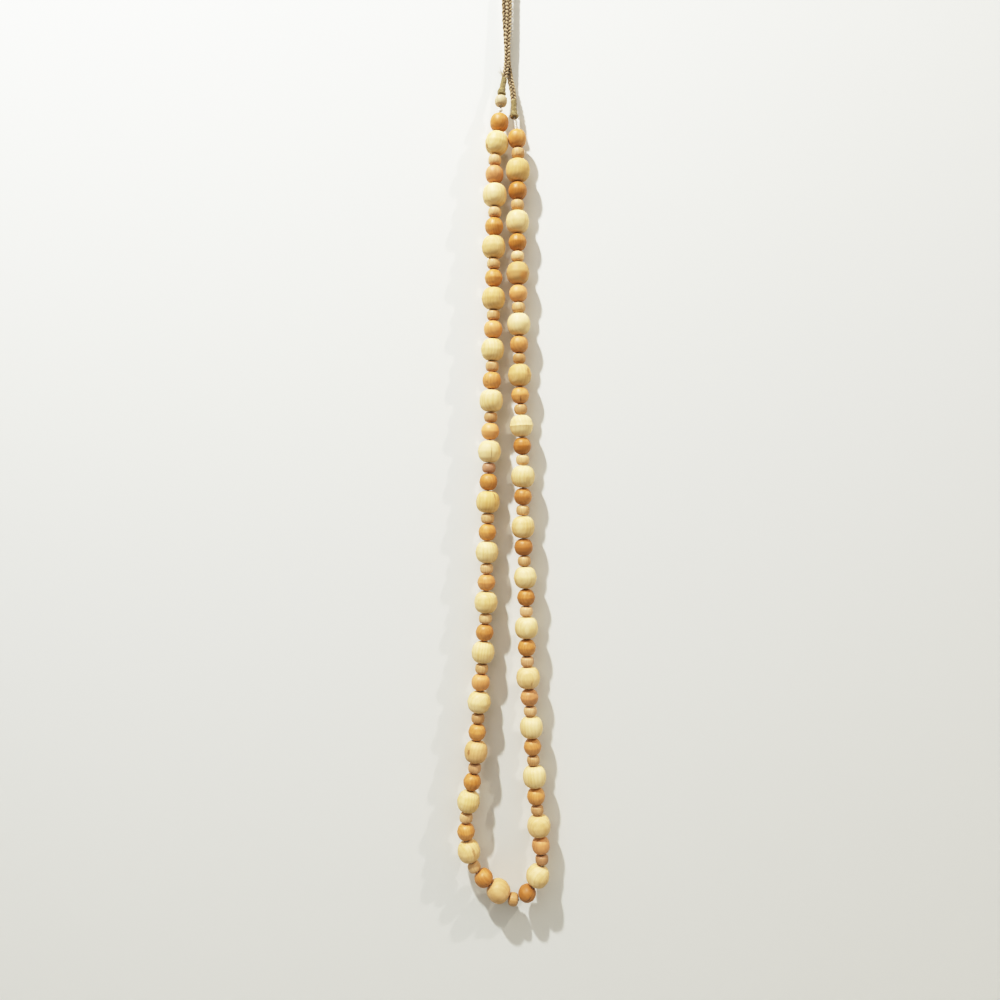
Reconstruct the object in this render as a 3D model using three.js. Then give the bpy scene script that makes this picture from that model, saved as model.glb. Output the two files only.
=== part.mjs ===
// A garland of turned wooden beads, strung on cotton thread and hung from a loop of plaited jute.
// Millimetres. +X is right, -Y is the front, +Z is up. The origin is the underside of the loop's
// top, where a hook carries it, and the two sides of the garland hang from there in one plane.
import * as THREE from 'three';

// Beads, strung in the order: one small, then TRIOS times medium, large, small, then one medium.
// "across" is the widest diameter, "along" the length on the thread, "face" the flat round the hole.
const BEADS = {
  large: { across: 20, along: 18.7, face: 5.6 },
  medium: { across: 15.5, along: 14.35, face: 4.8 },
  small: { across: 11.3, along: 8.4, face: 5.6 },
};
const TRIO = ['medium', 'large', 'small'];
const TRIOS = 31;
const ORDER = ['small', ...Array(TRIOS).fill(TRIO).flat(), 'medium'];
const BEAD_SIDES = 10;
const BEAD_BANDS = 4;

// What touches in the real garland is this far apart here.
const CLEARANCE = 0.3;

// Cotton thread, the hole it runs in through each bead, and the knot under the first small bead.
const THREAD = 1.7;
const THREAD_SIDES = 8;
const HOLE = 2.6;
const KNOT = { across: 3.8, along: 3.6, room: 6.4 };

// Jute cord, and the binding over each of its ends, which widens to a mouth at the beads' side.
const JUTE = 4;
const JUTE_SIDES = 10;
const JUTE_STEPS = 78;
const BINDING = { neck: 5.5, lip: 2.7, taper: 3.6, overhang: 1.6, sides: 16 };
const LEFT_BINDING = { length: 14, mouth: 6.8 };
const RIGHT_BINDING = { length: 15, mouth: 6.2 };

// The jute's route, from its left end, up in front of its own right leg, round the hook and down.
const JUTE_ROUTE = [
  [-4.4, -6.1, -145.4], [-3.6, -5.5, -140.9], [-2.8, -4.9, -136.4], [-2, -4.3, -131.9],
  [-1.1, -3.6, -126.8], [-0.3, -2.9, -120], [0.2, -2.5, -112], [0.5, -2.45, -103], [1, -2.4, -93],
  [1.4, -2.2, -83], [1.8, -1.8, -68], [2.2, -1.5, -52.5], [4.2, -0.8, -39.5], [7.8, -0.2, -29],
  [10.5, 0, -19], [11.3, 0, -9.8], [9.8, 0, -3.6], [5.6, 0, 0.5], [0, 0, 2], [-5.6, 0, 0.5],
  [-9.8, 0, -3.6], [-11.3, 0, -9.8], [-10.5, 0, -19], [-7.8, 0.2, -29], [-4.2, 0.8, -39.5],
  [-2.2, 1.5, -52.5], [-1.8, 1.8, -68], [-1.3, 2.2, -83], [-0.6, 2.4, -93], [0, 2.45, -103],
  [0.4, 2.4, -112], [1, 1.9, -120], [2, 0.9, -127], [3.3, -0.6, -134.5], [4.6, -2.3, -142],
  [5.4, -3.6, -149], [5.6, -4.1, -153], [5.7, -4.55, -156.7], [5.8, -5, -160.4],
  [5.9, -5.45, -164.1],
];

// The route of the strung beads, from the left end of the jute, down, round and up to its right end.
const STRAND_ROUTE = [
  [-4.8, -6.4, -148.45], [-5.2, -6.5, -155], [-6.2, -6.6, -173], [-9.4, -6.8, -191],
  [-10.6, -7, -217], [-9.7, -7.2, -235], [-11, -7.2, -262], [-11.2, -7, -321], [-12.2, -6.7, -365],
  [-13.6, -6.2, -415], [-15.6, -5.6, -470], [-16.8, -5.2, -530], [-18.2, -5.1, -586],
  [-21, -5.3, -622], [-24.6, -5.7, -670], [-27.2, -6, -710], [-32.2, -6.4, -736],
  [-35.2, -6.5, -762], [-32, -6, -783], [-26.5, -5.2, -798.5], [-6.2, -6, -817], [4.6, -4, -825.4],
  [15.4, -5.6, -822.4], [25, -6.3, -808], [30, -6.2, -793], [28.8, -6, -776], [24.2, -5.8, -728],
  [20.4, -6, -670], [17, -6.6, -615], [16, -6.8, -560], [13.6, -6.5, -512], [13.4, -6, -455],
  [10.9, -5.5, -390], [9.8, -5.2, -330], [8.8, -5.1, -270], [8.9, -5.2, -216], [9.2, -5.4, -188],
  [7.2, -5.8, -174],
];
const ROUTE_SAMPLES = 6000;

const WOODS = {
  large: new THREE.MeshStandardMaterial({ color: '#ecd7ab', roughness: 0.6, metalness: 0 }),
  medium: new THREE.MeshStandardMaterial({ color: '#dba566', roughness: 0.5, metalness: 0 }),
  small: new THREE.MeshStandardMaterial({ color: '#dfb996', roughness: 0.6, metalness: 0 }),
};
const COTTON = new THREE.MeshStandardMaterial({ color: '#f1ead8', roughness: 0.9, metalness: 0 });
const JUTE_FIBRE = new THREE.MeshStandardMaterial({ color: '#b99c6f', roughness: 0.95, metalness: 0 });
const BOUND_JUTE = new THREE.MeshStandardMaterial({ color: '#b3985f', roughness: 0.9, metalness: 0 });

const UP = new THREE.Vector3(0, 1, 0);
const FRONT = new THREE.Vector3(0, -1, 0);

function smooth(route) {
  return new THREE.CatmullRomCurve3(route.map((p) => new THREE.Vector3(...p)), false, 'catmullrom');
}

function along(from, direction, distance) {
  return from.clone().addScaledVector(direction, distance);
}

// A turned bead's profile: an arc between its two flat faces, as [distance along, radius] pairs.
// The arc is part of an ellipse as wide as the bead, cut where it is as wide as the face.
function beadArc({ across, along: length, face }) {
  const reach = length / 2 / Math.sqrt(1 - (face / across) ** 2);
  const end = Math.asin(length / 2 / reach);
  return Array.from({ length: BEAD_BANDS + 1 }, (_, i) => {
    const angle = end * ((2 * i) / BEAD_BANDS - 1);
    return [reach * Math.sin(angle), (across / 2) * Math.cos(angle)];
  });
}

// Walks the strand's route and returns the joints, the points of the thread between beads. Each
// bead lies on the straight line between its two joints, and gaps[i] is the room before bead i.
function walk(samples, gaps) {
  const joints = [samples[0]];
  let next = 1;
  ORDER.forEach((kind, i) => {
    const last = joints[i];
    const span = BEADS[kind].along + (gaps[i] + gaps[i + 1]) / 2;
    while (samples[next].distanceTo(last) < span) next += 1;
    joints.push(samples[next].clone().sub(last).setLength(span).add(last));
  });
  return joints;
}

// Room at each joint: the plain clearance, and where the strand turns, what keeps the inner edges
// of two tilted faces apart. The knot needs room of its own.
function roomAtJoints(joints) {
  return joints.map((joint, i) => {
    if (i === 1) return KNOT.room;
    if (i === 0 || i === ORDER.length) return CLEARANCE;
    const turn = joint.clone().sub(joints[i - 1]).angleTo(joints[i + 1].clone().sub(joint));
    const face = Math.max(BEADS[ORDER[i - 1]].face, BEADS[ORDER[i]].face);
    return CLEARANCE + face * Math.tan(turn / 2);
  });
}

const samples = smooth(STRAND_ROUTE).getPoints(ROUTE_SAMPLES);
let gaps = Array(ORDER.length + 1).fill(CLEARANCE);
for (let pass = 0; pass < 2; pass += 1) gaps = roomAtJoints(walk(samples, gaps));
const joints = walk(samples, gaps);
const steps = ORDER.map((_, i) => joints[i + 1].clone().sub(joints[i]).normalize());

// The thread's direction at a joint, halfway between those of the beads on either side.
function directionAt(joint) {
  const before = steps[Math.max(joint - 1, 0)];
  return before.clone().add(steps[Math.min(joint, steps.length - 1)]).normalize();
}

// A round body whose every ring is laid round its own centre, square to its own axis. The lathe
// makes ring k at height k, and each of its points then moves to the place of its ring.
function laidRings(rings, sides) {
  const shape = new THREE.LatheGeometry(rings.map(({ radius }, k) => new THREE.Vector2(radius, k)), sides);
  const position = shape.attributes.position;
  for (let i = 0; i < position.count; i += 1) {
    const { centre, axis } = rings[Math.round(position.getY(i))];
    const across = FRONT.clone().projectOnPlane(axis).normalize();
    const aside = across.clone().cross(axis);
    const point = along(along(centre, across, position.getX(i)), aside, position.getZ(i));
    position.setXYZ(i, ...point.toArray());
  }
  shape.computeVertexNormals();
  return shape;
}

// One node of neighbouring beads, from bead "first" on, joined at their faces, with one hole
// through them all, in the colour of the middle one. Its mesh is made about the middle of the
// node, where the mesh is placed.
function beadsNode(name, first, count) {
  const last = first + count;
  const wood = WOODS[ORDER[first + Math.floor(count / 2)]];
  const middle = joints[first].clone().add(joints[last]).multiplyScalar(0.5);
  const outside = [];
  for (let i = first; i < last; i += 1) {
    const bead = BEADS[ORDER[i]];
    const centre = along(joints[i], steps[i], (gaps[i] + bead.along) / 2);
    for (const [distance, radius] of beadArc(bead)) {
      outside.push({ centre: along(centre, steps[i], distance), axis: steps[i], radius });
    }
  }
  const [start, stop] = [outside.at(0), outside.at(-1)];
  const inside = [{ ...stop, radius: HOLE / 2 }];
  for (let i = last - 1; i > first; i -= 1) {
    inside.push({ centre: joints[i], axis: directionAt(i), radius: HOLE / 2 });
  }
  inside.push({ ...start, radius: HOLE / 2 });
  const rings = [...outside, ...inside, start].map(
    ({ centre, axis, radius }) => ({ centre: centre.clone().sub(middle), axis, radius }),
  );
  const mesh = new THREE.Mesh(laidRings(rings, BEAD_SIDES), wood);
  mesh.name = name;
  mesh.position.copy(middle);
  return mesh;
}

// The thread runs straight through every joint, between a left and a right end ring at the jute's
// ends. It is swollen at the knot, between the first small bead and the first medium one.
function thread(left, right) {
  const plain = joints.map((centre, i) => ({ centre, axis: directionAt(i), radius: THREAD / 2 }));
  const knot = [-1, -0.6, 0, 0.6, 1].map((place) => {
    const swell = Math.sqrt(1 - place ** 2) * (KNOT.across - THREAD);
    const centre = along(joints[1], plain[1].axis, (place * KNOT.along) / 2);
    return { centre, axis: plain[1].axis, radius: (THREAD + swell) / 2 };
  });
  const rings = [
    { ...left, radius: 0 }, left, plain[0], ...knot, ...plain.slice(2), right, { ...right, radius: 0 },
  ];
  const mesh = new THREE.Mesh(laidRings(rings, THREAD_SIDES), COTTON);
  mesh.name = 'thread';
  return mesh;
}

function juteLoop(path) {
  const section = new THREE.Shape().absarc(0, 0, JUTE / 2, 0, 2 * Math.PI);
  const shape = new THREE.ExtrudeGeometry(section, {
    extrudePath: path, steps: JUTE_STEPS, curveSegments: JUTE_SIDES / 2,
  });
  const mesh = new THREE.Mesh(shape, JUTE_FIBRE);
  mesh.name = 'jute_loop';
  return mesh;
}

// A binding over one end of the jute: a sleeve open at both ends, widest at its mouth. It is
// turned about the Y axis from its mouth up, then laid along the jute.
function binding(name, { length, mouth }, end, inwards) {
  const { neck, lip, taper, overhang, sides } = BINDING;
  const inner = JUTE / 2 + CLEARANCE;
  const profile = [
    [inner, 0], [mouth / 2, 0], [mouth / 2, lip], [neck / 2, lip + taper],
    [neck / 2, length], [inner, length], [inner, 0],
  ].map(([radius, height]) => new THREE.Vector2(radius, height));
  const mesh = new THREE.Mesh(new THREE.LatheGeometry(profile, sides), BOUND_JUTE);
  mesh.name = name;
  mesh.quaternion.setFromUnitVectors(UP, inwards);
  mesh.position.copy(along(end, inwards, -overhang));
  return mesh;
}

function hanger() {
  const group = new THREE.Group();
  const path = smooth(JUTE_ROUTE);
  const [left, right] = [path.points.at(0), path.points.at(-1)];
  const leftInwards = path.points.at(1).clone().sub(left).normalize();
  const rightInwards = path.points.at(-2).clone().sub(right).normalize();
  const radius = THREAD / 2;
  group.add(juteLoop(path));
  group.add(binding('left_binding', LEFT_BINDING, left, leftInwards));
  group.add(binding('right_binding', RIGHT_BINDING, right, rightInwards));
  group.add(thread(
    { centre: along(left, leftInwards, -CLEARANCE), axis: leftInwards.clone().negate(), radius },
    { centre: along(right, rightInwards, -CLEARANCE), axis: rightInwards, radius },
  ));
  return group;
}

function strand() {
  const group = new THREE.Group();
  group.add(beadsNode('first_small_bead', 0, 1));
  for (let n = 0; n < TRIOS; n += 1) {
    group.add(beadsNode(`beads_${String(n + 1).padStart(2, '0')}`, 1 + TRIO.length * n, TRIO.length));
  }
  group.add(beadsNode('last_medium_bead', ORDER.length - 1, 1));
  return group;
}

const garland = new THREE.Group();
garland.add(hanger(), strand());

export default garland;
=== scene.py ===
"""A garland of turned wooden beads on cotton thread, hung from a loop of plaited jute.

The frame gives every bead, the thread, the jute and its two bindings as plain solids. This script
lays the finished surfaces where they are: turned beads with their grain and marks, a three-strand
plait with loose hairs, wound bindings, a frayed end, and the twisted thread with its knot.
Lengths are in millimetres, but meshes and the stage are in metres.
"""
import math
from types import SimpleNamespace as Values

import bpy
import numpy as np
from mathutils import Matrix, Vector


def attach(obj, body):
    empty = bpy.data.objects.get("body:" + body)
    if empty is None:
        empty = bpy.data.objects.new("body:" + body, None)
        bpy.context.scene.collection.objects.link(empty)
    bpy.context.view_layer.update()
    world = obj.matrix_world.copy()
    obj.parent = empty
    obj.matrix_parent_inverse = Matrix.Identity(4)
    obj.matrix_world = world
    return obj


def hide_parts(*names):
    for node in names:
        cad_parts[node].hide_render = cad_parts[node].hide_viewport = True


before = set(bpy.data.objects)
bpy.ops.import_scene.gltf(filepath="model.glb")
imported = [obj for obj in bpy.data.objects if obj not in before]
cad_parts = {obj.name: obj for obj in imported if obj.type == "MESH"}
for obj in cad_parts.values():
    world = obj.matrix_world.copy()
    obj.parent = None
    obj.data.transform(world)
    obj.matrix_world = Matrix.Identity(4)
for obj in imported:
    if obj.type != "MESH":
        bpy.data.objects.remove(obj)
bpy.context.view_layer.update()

MM = 0.001
FULL_TURN = 2 * math.pi
FRONT = np.array([0.0, -1.0, 0.0])
RIGHT = np.array([1.0, 0.0, 0.0])
UP = np.array([0.0, 0.0, 1.0])
# What a hair's section is turned to, unless the hair itself runs nearly to the front or back.
HAIR_FRONT = np.array([0.3, -0.8, 0.5])
NEARLY = 0.8

# ---- sizes

# Across, along the hole, and the flat face round the hole, by which the beads are laid.
BEADS = {
    "large": Values(across=20.0, along=18.7, face=5.6),
    "medium": Values(across=15.5, along=14.35, face=4.8),
    "small": Values(across=11.3, along=8.4, face=5.6),
}
# How each kind is turned. Fullness is 2 for an ellipse and more for a squarer barrel, flat is the
# width of its turned end, and the ridge lies between two sizes.
TURNING = {
    "large": Values(fullness=2.65, flat=5.6, ridge=(0.25, 0.90), rows=36, columns=64),
    "medium": Values(fullness=2.4, flat=5.2, ridge=(0.10, 0.62), rows=30, columns=56),
    "small": Values(fullness=3.1, flat=6.2, ridge=(0.05, 0.35), rows=24, columns=48),
}
TRIO = ["medium", "large", "small"]
TRIOS = 31
ORDER = ["small"] + TRIO * TRIOS + ["medium"]
HOLE = 2.6
# The hole's rim: how far inside the flat end it starts, how much wider than the hole it opens,
# and the depths of its step and of all of it.
RIM = Values(inset=0.45, wider=0.4, step=0.1, deep=0.5)
# As shares of half a bead's width: how far its ridge reaches, and how long its ripples are.
RIDGE_REACH = 0.24
RIPPLE_LENGTH = 0.42
# How beads of a kind differ: their width and length as shares, how oval and rippled they are at
# most, and how far they lean.
SPREAD = Values(stout=(0.97, 1.01), short=(0.985, 1.0), oval=0.010, lean=0.012, ripple=0.035)
FIRST_BEAD_STOUT = 0.92
CLEARANCE = 0.3
KNOT_ROOM = 6.4

# The thread is finely divided and twisted where it shows: from its left end to past the knot, and
# from before the last bead's upper end.
THREAD = Values(across=1.7, twist=3.4, dip=0.34, sides=14, fine=0.3, coarse=3.0, past=8.0, before=6.0)
KNOT = Values(loop=0.42, cord=1.15, height=0.85, rows=96, sides=12, streaks=1.3)

# The plait's overall width, how far its strands swing sideways and in depth, and its repeat. At its
# ends it is drawn in by a share, over a length. Streaks apart keeps the strands' streaks unlike.
PLAIT = Values(
    width=5.2, swing=1.62, depth=0.92, repeat=9.3, spacing=0.3, strands=3, drawn_in=0.35, closing=6.0,
    streaks_apart=40.0, samples=4000,
)
# The two plies of a strand, how much thinner they are in the binding, and their unevenness.
PLY = Values(offset=0.32, radius=0.70, twist=5.2, sides=16, thinner=0.14, uneven=0.05, wave=1.7)
# The dip between two plies, and how the painted shade falls off from the middle of the plait outward.
HOLLOW = Values(dip_width=0.33, dip=0.3, middle=3.0, fall=3.2)

# How far a binding stands out past the jute's end, its neck, the height of its flare, its wall, and
# the plug round the thread.
BINDING = Values(overhang=1.6, neck=2.35, flare=7.0, wall=0.5, plug=1.3, plug_height=1.2)
LEFT_BINDING = dict(length=14.0, mouth=3.6, bulge=1.2)
RIGHT_BINDING = dict(length=15.0, mouth=3.5, bulge=0.6)
# The yarn's width, its ridges' rise, its drop at the top end, over how many turns, and the rows of
# one turn and of the mouth's edge.
WINDING = Values(yarn=1.15, rise=0.30, drop=0.3, drop_turns=0.8, rows=8, mouth_rows=8, columns=48)
# Sines that push the ridges aside and the body in and out: size, times round, and times per turn.
RIDGE_DRIFT = [(0.13, 2, 0.37), (0.08, 3, -0.61)]
BODY_UNEVEN = [(0.05, 1, 0.21), (0.035, 2, -0.33)]
# How uneven the mouth's edge is, and how the painted shade lies in the winding's dips, mouth and bore.
MOUTH_EDGE = Values(uneven=0.25, climb=2.5)
WOUND_SHADE = Values(dips=0.85, dip_width=0.4, mouth=0.55, bore=0.7)

# Loose hairs: how thick they are, how far they bend and thin out, and their rows. On the plait they
# start at a reach to the front and aside, and the ends stay bare under the bindings.
HAIR_SHAPE = Values(radius=0.035, bend=(0.15, 0.5), thin=0.6, rows=6, sides=3)
PLAIT_HAIRS = Values(
    count=620, lengths=(1.0, 3.4), outward=(0.25, 0.8), front=1.25, aside=1.75, bare=16.0,
)
BINDING_HAIRS = Values(count=70, lengths=(0.7, 2.2), outward=0.5, scatter=0.6)
FRAYED = Values(
    count=26, lengths=(3.8, 6.6), radius=0.10, lean=(-0.55, -0.25, 0.80), scatter=0.16, root=0.28,
    above=1.0, left=0.9, front=1.2,
)

# The jute's route, from its left end, up in front of its own right leg, round the hook and down.
# The second half of its eye is the first one, turned half round.
LEFT_LEG = [
    (-4.4, -6.1, -145.4), (-3.6, -5.5, -140.9), (-2.8, -4.9, -136.4), (-2, -4.3, -131.9),
    (-1.1, -3.6, -126.8), (-0.3, -2.9, -120), (0.2, -2.5, -112), (0.5, -2.45, -103), (1, -2.4, -93),
    (1.4, -2.2, -83),
]
HALF_EYE = [
    (1.8, -1.8, -68), (2.2, -1.5, -52.5), (4.2, -0.8, -39.5), (7.8, -0.2, -29), (10.5, 0, -19),
    (11.3, 0, -9.8), (9.8, 0, -3.6), (5.6, 0, 0.5),
]
OTHER_HALF = [(-x, -y, z) for x, y, z in reversed(HALF_EYE)]
RIGHT_LEG = [
    (-1.3, 2.2, -83), (-0.6, 2.4, -93), (0, 2.45, -103), (0.4, 2.4, -112), (1, 1.9, -120),
    (2, 0.9, -127), (3.3, -0.6, -134.5), (4.6, -2.3, -142), (5.4, -3.6, -149), (5.6, -4.1, -153),
    (5.7, -4.55, -156.7), (5.8, -5, -160.4), (5.9, -5.45, -164.1),
]
JUTE_ROUTE = [*LEFT_LEG, *HALF_EYE, (0, 0, 2), *OTHER_HALF, *RIGHT_LEG]

# The route of the strung beads, from the left end of the jute, down, round and up to its right end.
STRAND_ROUTE = [
    (-4.8, -6.4, -148.45), (-5.2, -6.5, -155), (-6.2, -6.6, -173), (-9.4, -6.8, -191),
    (-10.6, -7, -217), (-9.7, -7.2, -235), (-11, -7.2, -262), (-11.2, -7, -321),
    (-12.2, -6.7, -365), (-13.6, -6.2, -415), (-15.6, -5.6, -470), (-16.8, -5.2, -530),
    (-18.2, -5.1, -586), (-21, -5.3, -622), (-24.6, -5.7, -670), (-27.2, -6, -710),
    (-32.2, -6.4, -736), (-35.2, -6.5, -762), (-32, -6, -783), (-26.5, -5.2, -798.5),
    (-6.2, -6, -817), (4.6, -4, -825.4), (15.4, -5.6, -822.4), (25, -6.3, -808), (30, -6.2, -793),
    (28.8, -6, -776), (24.2, -5.8, -728), (20.4, -6, -670), (17, -6.6, -615), (16, -6.8, -560),
    (13.6, -6.5, -512), (13.4, -6, -455), (10.9, -5.5, -390), (9.8, -5.2, -330), (8.8, -5.1, -270),
    (8.9, -5.2, -216), (9.2, -5.4, -188), (7.2, -5.8, -174),
]
ROUTE_SAMPLES = 6000

# Knots, pith marks and checks of single beads, by number in strung order. Right and up are where
# the mark lies as seen from the front. A darkness below 0 is a soft stain with no dark middle.
MARKS = {
    # bead: (right, up, half width, half height, darkness)
    2: (-8.2, -4.0, 1.3, 2.2, 0.8),
    11: (5.0, 1.0, 0.25, 4.5, 0.4),
    16: (-4.0, -2.2, 1.2, 1.5, 0.35),
    20: (2.0, -1.0, 0.3, 6.5, 0.55),
    23: (5.8, 5.2, 0.5, 3.2, 0.75),
    38: (-6.0, 1.6, 1.6, 3.0, 0.6),
    44: (4.6, 2.5, 1.3, 4.2, 0.45),
    46: (2.5, -2.4, 1.0, 1.2, 0.5),
    47: (-3.8, -6.6, 1.5, 1.2, 0.6),
    49: (1.5, -1.8, 0.8, 6.0, 0.9),
    62: (2.6, -3.5, 0.7, 2.4, 0.45),
    74: (3.0, -3.0, 0.3, 4.0, 0.3),
    79: (0.4, -3.8, 0.5, 2.6, 0.8),
    80: (7.2, 2.2, 2.1, 3.4, 0.45),
    86: (5.2, -3.8, 2.7, 2.4, -2.4),
    92: (5.0, -0.5, 0.3, 4.0, 0.3),
}
# A mark of no darkness, and how near a bead's outline one may lie, as a share of its radius.
NO_MARK = (0, 0, 1, 1, 0)
MARK_LIMIT = 0.98
# How much paler (above 0) or darker, and how much rosier, single beads are than their kind.
TINTS = {
    # bead: (paler, rosier)
    0: (0.0, -0.2), 1: (-0.2, 0.0), 2: (-0.1, 0.0), 4: (0.1, 0.9), 5: (0.4, 0.1), 11: (-0.5, 0.3),
    13: (0.8, 0.4), 15: (-0.3, 0.2), 16: (0.4, 0.2), 17: (0.4, 0.0), 18: (-0.6, 0.2), 19: (1.2, 0.4),
    20: (0.7, -0.4), 21: (-1.2, 1.3), 23: (-0.5, 0.1), 25: (0.4, 0.0), 26: (0.4, 0.0), 28: (0.3, 0.4),
    31: (-0.5, 0.2), 34: (0.8, 0.5), 35: (0.5, 0.0), 36: (-0.6, 0.2), 38: (-0.3, 0.7), 39: (0.0, 0.5),
    42: (0.7, 0.1), 45: (0.2, 0.0), 46: (-0.4, 0.2), 47: (-0.3, 0.8), 49: (-1.1, 0.3), 51: (-1.2, 0.7),
    52: (0.4, 0.8), 55: (0.4, 0.1), 56: (0.5, -0.1), 57: (-0.4, 0.1), 59: (0.4, -0.1), 60: (0.6, 0.3),
    61: (0.1, 0.9), 62: (0.3, 0.3), 63: (0.3, 0.5), 65: (0.5, -0.1), 66: (0.8, 0.4), 67: (-0.6, 0.1),
    68: (0.5, 0.0), 70: (-1.2, 0.3), 73: (-0.3, 0.2), 76: (-0.7, 0.1), 77: (0.7, -0.4), 78: (-0.5, 0.1),
    79: (0.6, 0.1), 80: (-0.5, 0.3), 85: (1.3, 0.4), 86: (-2.0, 0.7), 87: (1.5, -0.5), 88: (-0.4, 0.0),
    89: (0.5, 0.1), 91: (-0.8, 0.1), 92: (-0.6, 0.3), 94: (0.1, -0.3),
}
# The tint of every other bead is drawn from these, and its grain is cut from a place of its own.
PALER_SPREAD = 0.28
ROSIER_RANGE = (-0.5, 0.35)
GRAIN_PLACES = 80

# ---- stage

# The pitch is in degrees, and the lens and sensor in millimetres.
CAMERA = Values(
    place=(-0.0058, -0.6777, -0.4644), pitch=1.6, lens=28.8, sensor=36.0, sees=(0.01, 50.0),
)
# Half the room's width, its floor, and its wall, which leans forward by a share of its height.
ROOM = 4.0
FLOOR_Z = -2.4
WALL_TOP = 2.5
WALL_Y = 0.0076
WALL_LEAN = 0.004

LAMPS = {
    "key_lamp": dict(place=(-0.55, -0.85, 0.95), watts=38.0, across=0.07, color=(0.94, 0.98, 0.98)),
    "side_lamp": dict(place=(1.78, -1.20, 1.57), watts=27.0, across=0.07, color=(1.0, 0.94, 0.85)),
    "window_lamp": dict(place=(-0.30, -1.45, 0.42), watts=4.0, across=1.2, color=(0.95, 0.98, 1.0)),
}
LAMP_AIM = (0.0, 0.0, -0.48)
# The room's light from above and below, and how high a ray points where it turns between them.
AMBIENT = Values(above=(0.76, 0.745, 0.68), below=(0.04, 0.028, 0.018), turns=(-0.1, 0.7))
ROOM_SEEN = (0.76, 0.75, 0.72)
WALL_COLORS = ((0.81, 0.81, 0.78), (0.83, 0.83, 0.80))
FLOOR_COLORS = ((0.70, 0.66, 0.60), (0.73, 0.69, 0.63))

# How bright light comes out: a little deeper in the shade, then even, and from a half ever more
# gently up to white.
BRIGHTEST = 2.0
TONES = [
    (0.0, 0.0), (0.07, 0.048), (0.18, 0.155), (0.33, 0.32), (0.5, 0.5), (0.75, 0.70), (1.0, 0.82),
    (1.25, 0.905), (1.5, 0.955), (2.0, 1.0),
]

# An edge that turns by more degrees than this stays sharp.
BEAD_SHARP = 35.0
CORD_SHARP = 50.0


# ---- lines and grids

def smooth_route(route, samples):
    """Points on the smooth line through a route, in equal steps of its parameter.

    Between two neighbours the line is a cubic. Its slope at each is half the step from the point
    before to the point after, and each end has one more point reflected beyond it.
    """
    p = np.array(route, float)
    p = np.vstack([2 * p[0] - p[1], p, 2 * p[-1] - p[-2]])
    t = np.linspace(0, len(route) - 1, samples + 1)
    i = np.minimum(t.astype(int), len(route) - 2)
    w = (t - i)[:, None]
    a, b, c, d = p[i], p[i + 1], p[i + 2], p[i + 3]
    return b + 0.5 * w * (c - a + w * (2 * a - 5 * b + 4 * c - d + w * (3 * (b - c) + d - a)))


def unit(v):
    """Vectors along the last axis, each divided by its length."""
    return v / np.linalg.norm(v, axis=-1, keepdims=True)


def distances(line):
    """How far along a line each of its points lies: the running sum of the steps."""
    return np.concatenate([[0.0], np.cumsum(np.linalg.norm(np.diff(line, axis=0), axis=1))])


def at_distances(line, wanted):
    """The points of a line at the wanted distances along it, each coordinate read off in turn."""
    s = distances(line)
    return np.stack([np.interp(wanted, s, line[:, k]) for k in range(3)], axis=1)


def square_frames(line, towards=FRONT):
    """The direction of a line at each point, the part of "towards" square to it, and aside."""
    ahead = unit(np.gradient(line, axis=0))
    first = unit(towards - (ahead @ towards)[:, None] * ahead)
    return ahead, first, np.cross(ahead, first)


def faces_between(row, next_row, columns):
    """Faces between each row of points and the one after it, where the columns join up."""
    i, j = np.meshgrid(row, np.arange(columns), indexing="ij")
    k, m = np.meshgrid(next_row, (np.arange(columns) + 1) % columns, indexing="ij")
    corners = [i * columns + j, i * columns + m, k * columns + m, k * columns + j]
    return np.stack(corners, -1).reshape(-1, 4).tolist()


def closed_grid(rows, columns):
    """Faces of a grid that joins up both ways, so that it is the skin of a ring."""
    row = np.arange(rows)
    return faces_between(row, (row + 1) % rows, columns)


def tube_faces(rows, columns):
    """Faces of a tube whose columns join up. Two more points, last of all, close its ends."""
    sides = faces_between(np.arange(rows - 1), np.arange(1, rows), columns)
    ring = np.arange(columns)
    after = (ring + 1) % columns
    start = np.stack([np.full(columns, rows * columns), after, ring], -1)
    last = (rows - 1) * columns
    stop = np.stack([np.full(columns, rows * columns + 1), last + ring, last + after], -1)
    return sides + start.tolist() + stop.tolist()


def ring_directions(t, first, second):
    """The directions at angles t round each point of a line, from the first towards the second."""
    return np.cos(t)[None, :, None] * first[:, None] + np.sin(t)[None, :, None] * second[:, None]


def tube(line, radius, towards=FRONT):
    """A closed tube along a line. The radius has a row for each point of the line.

    Round the point, at angle t, the tube lies at the radius times the cosine of t towards the
    front and the sine of t aside.
    """
    _, first, second = square_frames(line, towards)
    rows, sides = radius.shape
    t = np.arange(sides) * FULL_TURN / sides
    points = line[:, None] + radius[..., None] * ring_directions(t, first, second)
    return np.vstack([points.reshape(-1, 3), line[:1], line[-1:]]), tube_faces(rows, sides)


def facing(axis, towards=FRONT):
    """For one axis, the part of "towards" square to it, and the direction aside."""
    front = unit(towards - (towards @ axis) * axis)
    return front, np.cross(axis, front)


def joined(parts):
    """Several (points, faces) as one, with the faces of each counted on from the last."""
    points, faces, first = [], [], 0
    for part_points, part_faces in parts:
        points.append(part_points)
        faces += [[first + v for v in face] for face in part_faces]
        first += len(part_points)
    return np.vstack(points), faces


def new_object(name, data):
    """An object at the origin, put in the scene."""
    obj = bpy.data.objects.new(name, data)
    bpy.context.scene.collection.objects.link(obj)
    return obj


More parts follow.
